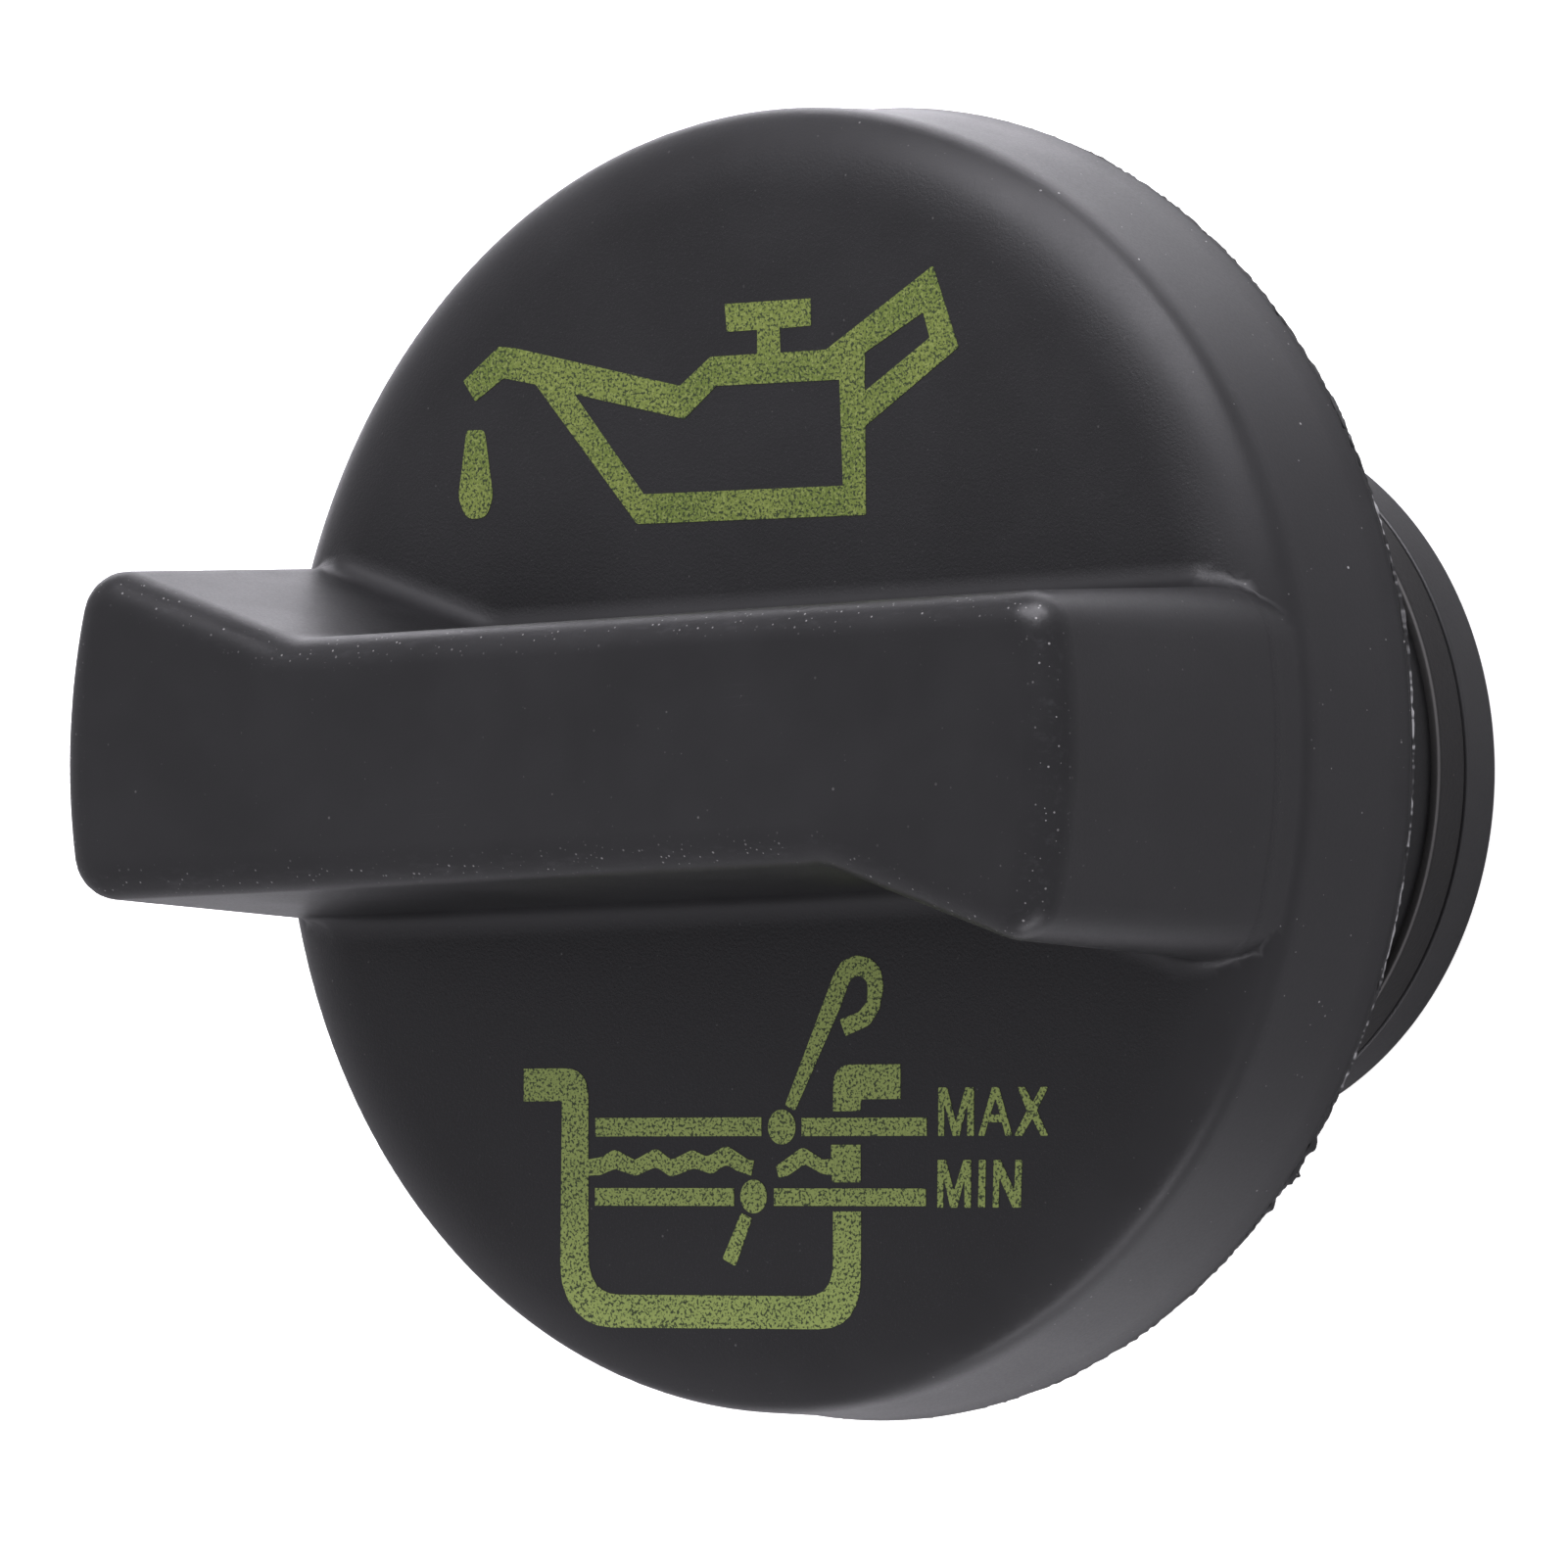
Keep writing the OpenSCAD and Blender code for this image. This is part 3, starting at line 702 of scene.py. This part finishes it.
flash_reach = 0.01 + wander(900, 0, 0.06) + wander(160, -0.03, 0.05) + np.maximum(wander(70, -0.4, 0.12), 0)
flash_out = skirt_r - film_in + wander(800, -0.04, 0.05) + wander(150, -0.03, 0.03)
most_torn = np.exp(-((np.degrees(flash_turn) + 180) % 360 - 180) ** 2 / torn_spread ** 2)
flash_reach = flash_reach * (0.4 + 0.6 * most_torn)
lumps = np.zeros(flash_steps)
for angle, spread, size in burrs:
    from_burr = (np.degrees(flash_turn) - angle + 180) % 360 - 180
    lumps = lumps + size * np.exp(-(from_burr / spread) ** 2) * wander(1100, 0.4, 1.2)
flash_out, flash_reach = flash_out + lumps, np.maximum(flash_reach + lumps * lump_drop, least_reach)
flash_thick = wander(500, 0.02, 0.06)
flash_r = np.stack([np.full(flash_steps, skirt_r - foot_out), np.full(flash_steps, skirt_r - foot_in),
                    flash_out - flash_thick, flash_out], 1)
flash_z = np.stack([np.full(flash_steps, skirt_z + foot_z), np.full(flash_steps, skirt_z + foot_in_z),
                    skirt_z - flash_reach, skirt_z - flash_reach * 0.8], 1)
flash_points = np.stack([flash_r * np.cos(flash_turn)[:, None], flash_r * np.sin(flash_turn)[:, None],
                         flash_z], -1).reshape(-1, 3)
flash_quads = [(4 * i + k, 4 * i + (k + 1) % 4, 4 * ((i + 1) % flash_steps) + (k + 1) % 4,
                4 * ((i + 1) % flash_steps) + k) for i in range(flash_steps) for k in range(4)]
flash_mesh = bpy.data.meshes.new("skirt_flash")
flash_mesh.from_pydata((flash_points * MM).tolist(), [], flash_quads)
# the film is painted paler in patches, most where it is most torn and not on the lumps: a painted highlight
# for the bright line along the torn edge
painted_flash_highlight = flash_mesh.attributes.new("painted_flash_highlight", "FLOAT", "POINT")
paler = np.clip(wander(1300, -0.5, 1.4) + wander(110, -0.9, 0.6) - 1.2 * (1 - most_torn), 0, 1)
paler = paler * np.clip(1 - lumps / lump_black, 0, 1)
painted_flash_highlight.data.foreach_set("value", np.repeat(paler, 4))
torn = plastic("torn nylon", torn_colour, 0.42, 0.8)
flash_highlight_mask = add(torn.node_tree, "ShaderNodeAttribute", attribute_name="painted_flash_highlight").outputs["Fac"]
# the painted highlight, laid over the torn film's colour
laid_over(torn, flash_highlight_mask, flash_highlight_colour)
flash_mesh.materials.append(torn)
flash = placed("skirt_flash", flash_mesh)
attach(flash, "root")

# The plug
# A second moulding of black plastic, closed at its top: a hollow barrel with an end ring, the
# groove for the seal, a flange, two bayonet lugs, and a snap bead and keys inside the knob's collar.
barrel_r, bore_r, groove_r = 18.5, 16.3, 17.3
end_ring_h, end_ring_r = 2.6, 18.85
flange_low, flange_high, flange_r = 5.9, 7.9, 18.95
lug_r, lug_low, lug_high, lug_spread = 21.5, 12.5, 16.5, np.radians(34)
bead_r, bead_mid, bead_half = 18.95, under_z - 1.3, 0.6
key_r, key_low, key_high, key_w = 20.2, under_z - 5.8, under_z - 2.7, 3.0
plug_roof = 2.4
root_r = barrel_r - 0.6
# paler at the end ring, and painted darker from the flange up: painted shade where the skirt overhangs the
# plug
satin_colour = (0.011, 0.011, 0.0118)
end_ring_colour = (0.034, 0.034, 0.0345)
painted_skirt_shade_colour = (0.003, 0.003, 0.0032)


def turned(name, outline, steps=240):
    """A closed body of revolution from an outline of (radius, height, corner radius), in mm."""
    bm = bmesh.new()
    rings = []
    for r, z in softened(outline):
        if r < 1e-6:
            rings.append([bm.verts.new((0, 0, z * MM))])
        else:
            rings.append([bm.verts.new((r * np.cos(a) * MM, r * np.sin(a) * MM, z * MM))
                          for a in np.linspace(0, 2 * np.pi, steps, endpoint=False)])
    for i, ring in enumerate(rings):
        after = rings[(i + 1) % len(rings)]
        if len(ring) == 1 and len(after) == 1:
            continue
        for k in range(steps):
            j = (k + 1) % steps
            corners = [ring[k % len(ring)], ring[j % len(ring)], after[j % len(after)], after[k % len(after)]]
            bm.faces.new(list(dict.fromkeys(corners)))
    bmesh.ops.recalc_face_normals(bm, faces=bm.faces)
    mesh = bpy.data.meshes.new(name)
    bm.to_mesh(mesh)
    bm.free()
    return placed(name, mesh)


def block(name, outline, low, high, round_r):
    """An upright prism with its edges rounded, in mm."""
    least_turn = 0.6
    bm = bmesh.new()
    bottom = [bm.verts.new((x * MM, y * MM, low * MM)) for x, y in outline]
    top = [bm.verts.new((x * MM, y * MM, high * MM)) for x, y in outline]
    bm.faces.new(bottom[::-1])
    bm.faces.new(top)
    for i in range(len(outline)):
        j = (i + 1) % len(outline)
        bm.faces.new((bottom[i], bottom[j], top[j], top[i]))
    bmesh.ops.recalc_face_normals(bm, faces=bm.faces)
    sharp = [e for e in bm.edges if e.calc_face_angle(0) > least_turn]
    bmesh.ops.bevel(bm, geom=sharp, offset=round_r * MM, segments=3, profile=0.5, affect="EDGES")
    mesh = bpy.data.meshes.new(name)
    bm.to_mesh(mesh)
    bm.free()
    return placed(name, mesh)


def joined(piece, others):
    """Others made one with the piece by a boolean, and then taken out of the scene."""
    for other in others:
        union = piece.modifiers.new("join", "BOOLEAN")
        union.operation, union.solver, union.object = "UNION", "EXACT", other
    bpy.context.view_layer.update()
    mesh = bpy.data.meshes.new_from_object(piece.evaluated_get(bpy.context.evaluated_depsgraph_get()))
    piece.modifiers.clear()
    piece.data = mesh
    for other in others:
        bpy.data.objects.remove(other)
    mesh.polygons.foreach_set("use_smooth", [True] * len(mesh.polygons))
    mesh.set_sharp_from_angle(angle=np.radians(32))


plug = turned("plug_moulding", [
    (bore_r, 0, .25), (end_ring_r, 0, .35), (end_ring_r, end_ring_h, .18), (groove_r, end_ring_h, .1),
    (groove_r, flange_low, .1), (flange_r, flange_low, .15), (flange_r, flange_high - .45, .1),
    (barrel_r, flange_high, .1), (barrel_r, bead_mid - bead_half, .08), (bead_r, bead_mid - .15, .1),
    (bead_r, bead_mid + .15, .1), (barrel_r, bead_mid + bead_half, .08), (barrel_r, under_z, .2),
    (0, under_z, 0), (0, under_z - plug_roof, 0), (bore_r, under_z - plug_roof, 1.0)])
fins = []
for side in (0, np.pi):
    spread = np.linspace(-lug_spread / 2, lug_spread / 2, 17) + np.pi / 2 + side
    outline = [(lug_r * np.cos(a), lug_r * np.sin(a)) for a in spread]
    outline += [(root_r * np.cos(a), root_r * np.sin(a)) for a in spread[::-1]]
    fins.append(block("lug", outline, lug_low, lug_high, 0.5))
for k in range(4):
    a = np.radians(45 + 90 * k)
    out, across = np.array([np.cos(a), np.sin(a)]), np.array([-np.sin(a), np.cos(a)])
    corners = ((root_r, -1), (key_r, -1), (key_r, 1), (root_r, 1))
    outline = [tuple(out * r + across * w * key_w / 2) for r, w in corners]
    fins.append(block("key", outline, key_low, key_high, 0.2))
joined(plug, fins)
satin = plastic("black plastic, satin", satin_colour, 0.38, 0.35)
plug_h = along(satin.node_tree, place_in_mm(satin.node_tree), "Z")
on_end_ring = ramp(satin.node_tree, plug_h, end_ring_h + 0.3, end_ring_h - 0.1)
# from the flange up the plug is painted darker, as painted shade under the skirt
painted_skirt_shade = ramp(satin.node_tree, plug_h, flange_low - 0.2, flange_low)
laid_over(satin, on_end_ring, end_ring_colour)
laid_over(satin, painted_skirt_shade, painted_skirt_shade_colour)
plug.data.materials.append(satin)
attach(plug, "root")
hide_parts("plug")

# The seal ring
# A ring of black rubber, stretched into the plug's groove. Its outer side rises to a rounded
# crest next to the flange, which is what touches the filler neck.
seal_low, seal_root_r, seal_crest_r, crest_low = 2.9, barrel_r + .35, barrel_r + .8, 5.5
# a thin painted highlight along the crest
crest_highlight_z, crest_highlight_colour = 5.76, (0.15, 0.145, 0.14)
rubber_dark, rubber_worn = (0.0085, 0.0081, 0.0078), (0.0140, 0.0132, 0.0125)
rubber_dust_colour = (0.10, 0.09, 0.08)
seal = turned("seal_moulding", [
    (groove_r, seal_low, .1), (seal_root_r, seal_low, .12), (seal_crest_r, crest_low, .25),
    (seal_crest_r, flange_low - .04, .09), (barrel_r + .3, flange_low, .1), (groove_r, flange_low, .05)])
joined(seal, [])
rubber, rubber_tree, rubber_surface = painted("black rubber")
rubber_place = place_in_mm(rubber_tree)
rubber_grain = used(rubber_tree, grain, place=rubber_place, size=0.3)
rubber_dust = used(rubber_tree, specks, place=rubber_place, pitch=0.7, size=0.07, share=0.3)["Mask"]
rubber_marks = used(rubber_tree, handling, place=rubber_place)
rubber_base = blend(rubber_tree, rubber_marks["Smear"], rubber_dark, rubber_worn)
rubber_base = blend(rubber_tree, rubber_dust, rubber_base, rubber_dust_colour)
# a painted highlight: a thin paler line along the crest
from_crest_highlight = calc(rubber_tree, "SUBTRACT", along(rubber_tree, rubber_place, "Z"), crest_highlight_z)
painted_crest_highlight = ramp(rubber_tree, calc(rubber_tree, "ABSOLUTE", from_crest_highlight), 0.13, 0.05)
painted_crest_highlight = calc(rubber_tree, "MULTIPLY", painted_crest_highlight, 0.7)
rubber_base = blend(rubber_tree, painted_crest_highlight, rubber_base, crest_highlight_colour)
rubber_tree.links.new(rubber_base, rubber_surface.inputs["Base Color"])
rubber_rough = calc(rubber_tree, "MULTIPLY_ADD", rubber_marks["Smear"], 0.12, 0.52)
rubber_tree.links.new(rubber_rough, rubber_surface.inputs["Roughness"])
bumped(rubber_tree, rubber_surface, rubber_grain["Height"], 0.5, 0.00004)
seal.data.materials.append(rubber)
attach(seal, "root")
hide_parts("seal_ring")

# The table and the studio
# A pale table under the plug's end in a plain white room. Two soft lamps stand on the cap's +Y
# side, which is up in the picture, and a weak one on its -Y side. Three spots light the table.
table_half, table_drop = 3, 0.0001
table_colour, table_seen = 0.6, 0.86
room_level = 0.54
room_tint = {"Red": 0.97, "Green": 0.945, "Blue": 1.02}
lamp_colour = (0.955, 0.935, 1.0)

table_mesh = bpy.data.meshes.new("table")
table_corners = [(x * table_half, y * table_half, -table_drop)
                 for x, y in ((-1, -1), (1, -1), (1, 1), (-1, 1))]
table_mesh.from_pydata(table_corners, [], [(0, 1, 2, 3)])
table = placed("table", table_mesh)
pale, pale_tree, pale_surface = painted("pale table")
pale_surface.inputs["Base Color"].default_value = (table_colour, table_colour, table_colour, 1)
pale_surface.inputs["Roughness"].default_value = 0.9
pale_surface.inputs["Specular IOR Level"].default_value = 0.1
seen = add(pale_tree, "ShaderNodeLightPath").outputs
seen_white = calc(pale_tree, "MULTIPLY", seen["Is Camera Ray"], table_seen)
seen_white = add(pale_tree, "ShaderNodeCombineColor", {part: seen_white for part in room_tint}).outputs[0]
pale_tree.links.new(seen_white, pale_surface.inputs["Emission Color"])
pale_surface.inputs["Emission Strength"].default_value = 1
table_mesh.materials.append(pale)

world = bpy.data.worlds.new("studio")
scene.world = world
world.use_nodes = True
sky = world.node_tree
sky.nodes.clear()
seen_sky = add(sky, "ShaderNodeLightPath").outputs
level = {part: calc(sky, "MAXIMUM", seen_sky["Is Camera Ray"], room_level * share)
         for part, share in room_tint.items()}
sky_colour = add(sky, "ShaderNodeCombineColor", level).outputs[0]
background = add(sky, "ShaderNodeBackground", {"Color": sky_colour, "Strength": 1.0})
add(sky, "ShaderNodeOutputWorld", {"Surface": background.outputs[0]})


def lamp(name, kind, place, aim, power):
    """A lamp that the camera doesn't see, aimed at a point, in metres and watts."""
    light = bpy.data.lights.new(name, kind)
    light.energy = power
    light.color = lamp_colour
    stand = placed(name, light)
    stand.location = place
    stand.rotation_euler = (Vector(aim) - Vector(place)).to_track_quat("-Z", "Y").to_euler()
    stand.visible_camera = False
    return light


cap_middle = (0, 0, 0.03)
spot_angle, spot_blend, spot_radius = np.radians(18), 0.4, 0.02
for name, place, size, power in (
        ("soft_high", (0.05, 0.40, 0.33), (0.40, 0.20), 1.47),
        ("soft_side", (0.16, 0.45, 0.16), (0.26, 0.14), 0.85),
        ("soft_front", (0.10, -0.50, 0.06), (0.40, 0.10), 0.57)):
    light = lamp(name, "AREA", place, cap_middle, power)
    light.shape, light.size, light.size_y = "RECTANGLE", *size
for name, place, aim, power in (
        ("table_spot_behind", (0.02, 0.30, 0.30), (0, 0.10, 0), 21.0),
        ("table_spot_front", (0.02, -0.30, 0.30), (0, -0.10, 0), 9.0),
        ("table_spot_left", (-0.25, 0.25, 0.30), (-0.085, 0.06, 0), 21.0)):
    light = lamp(name, "SPOT", place, aim, power)
    light.spot_size, light.spot_blend, light.shadow_soft_size = spot_angle, spot_blend, spot_radius
scene.view_settings.view_transform = "Standard"
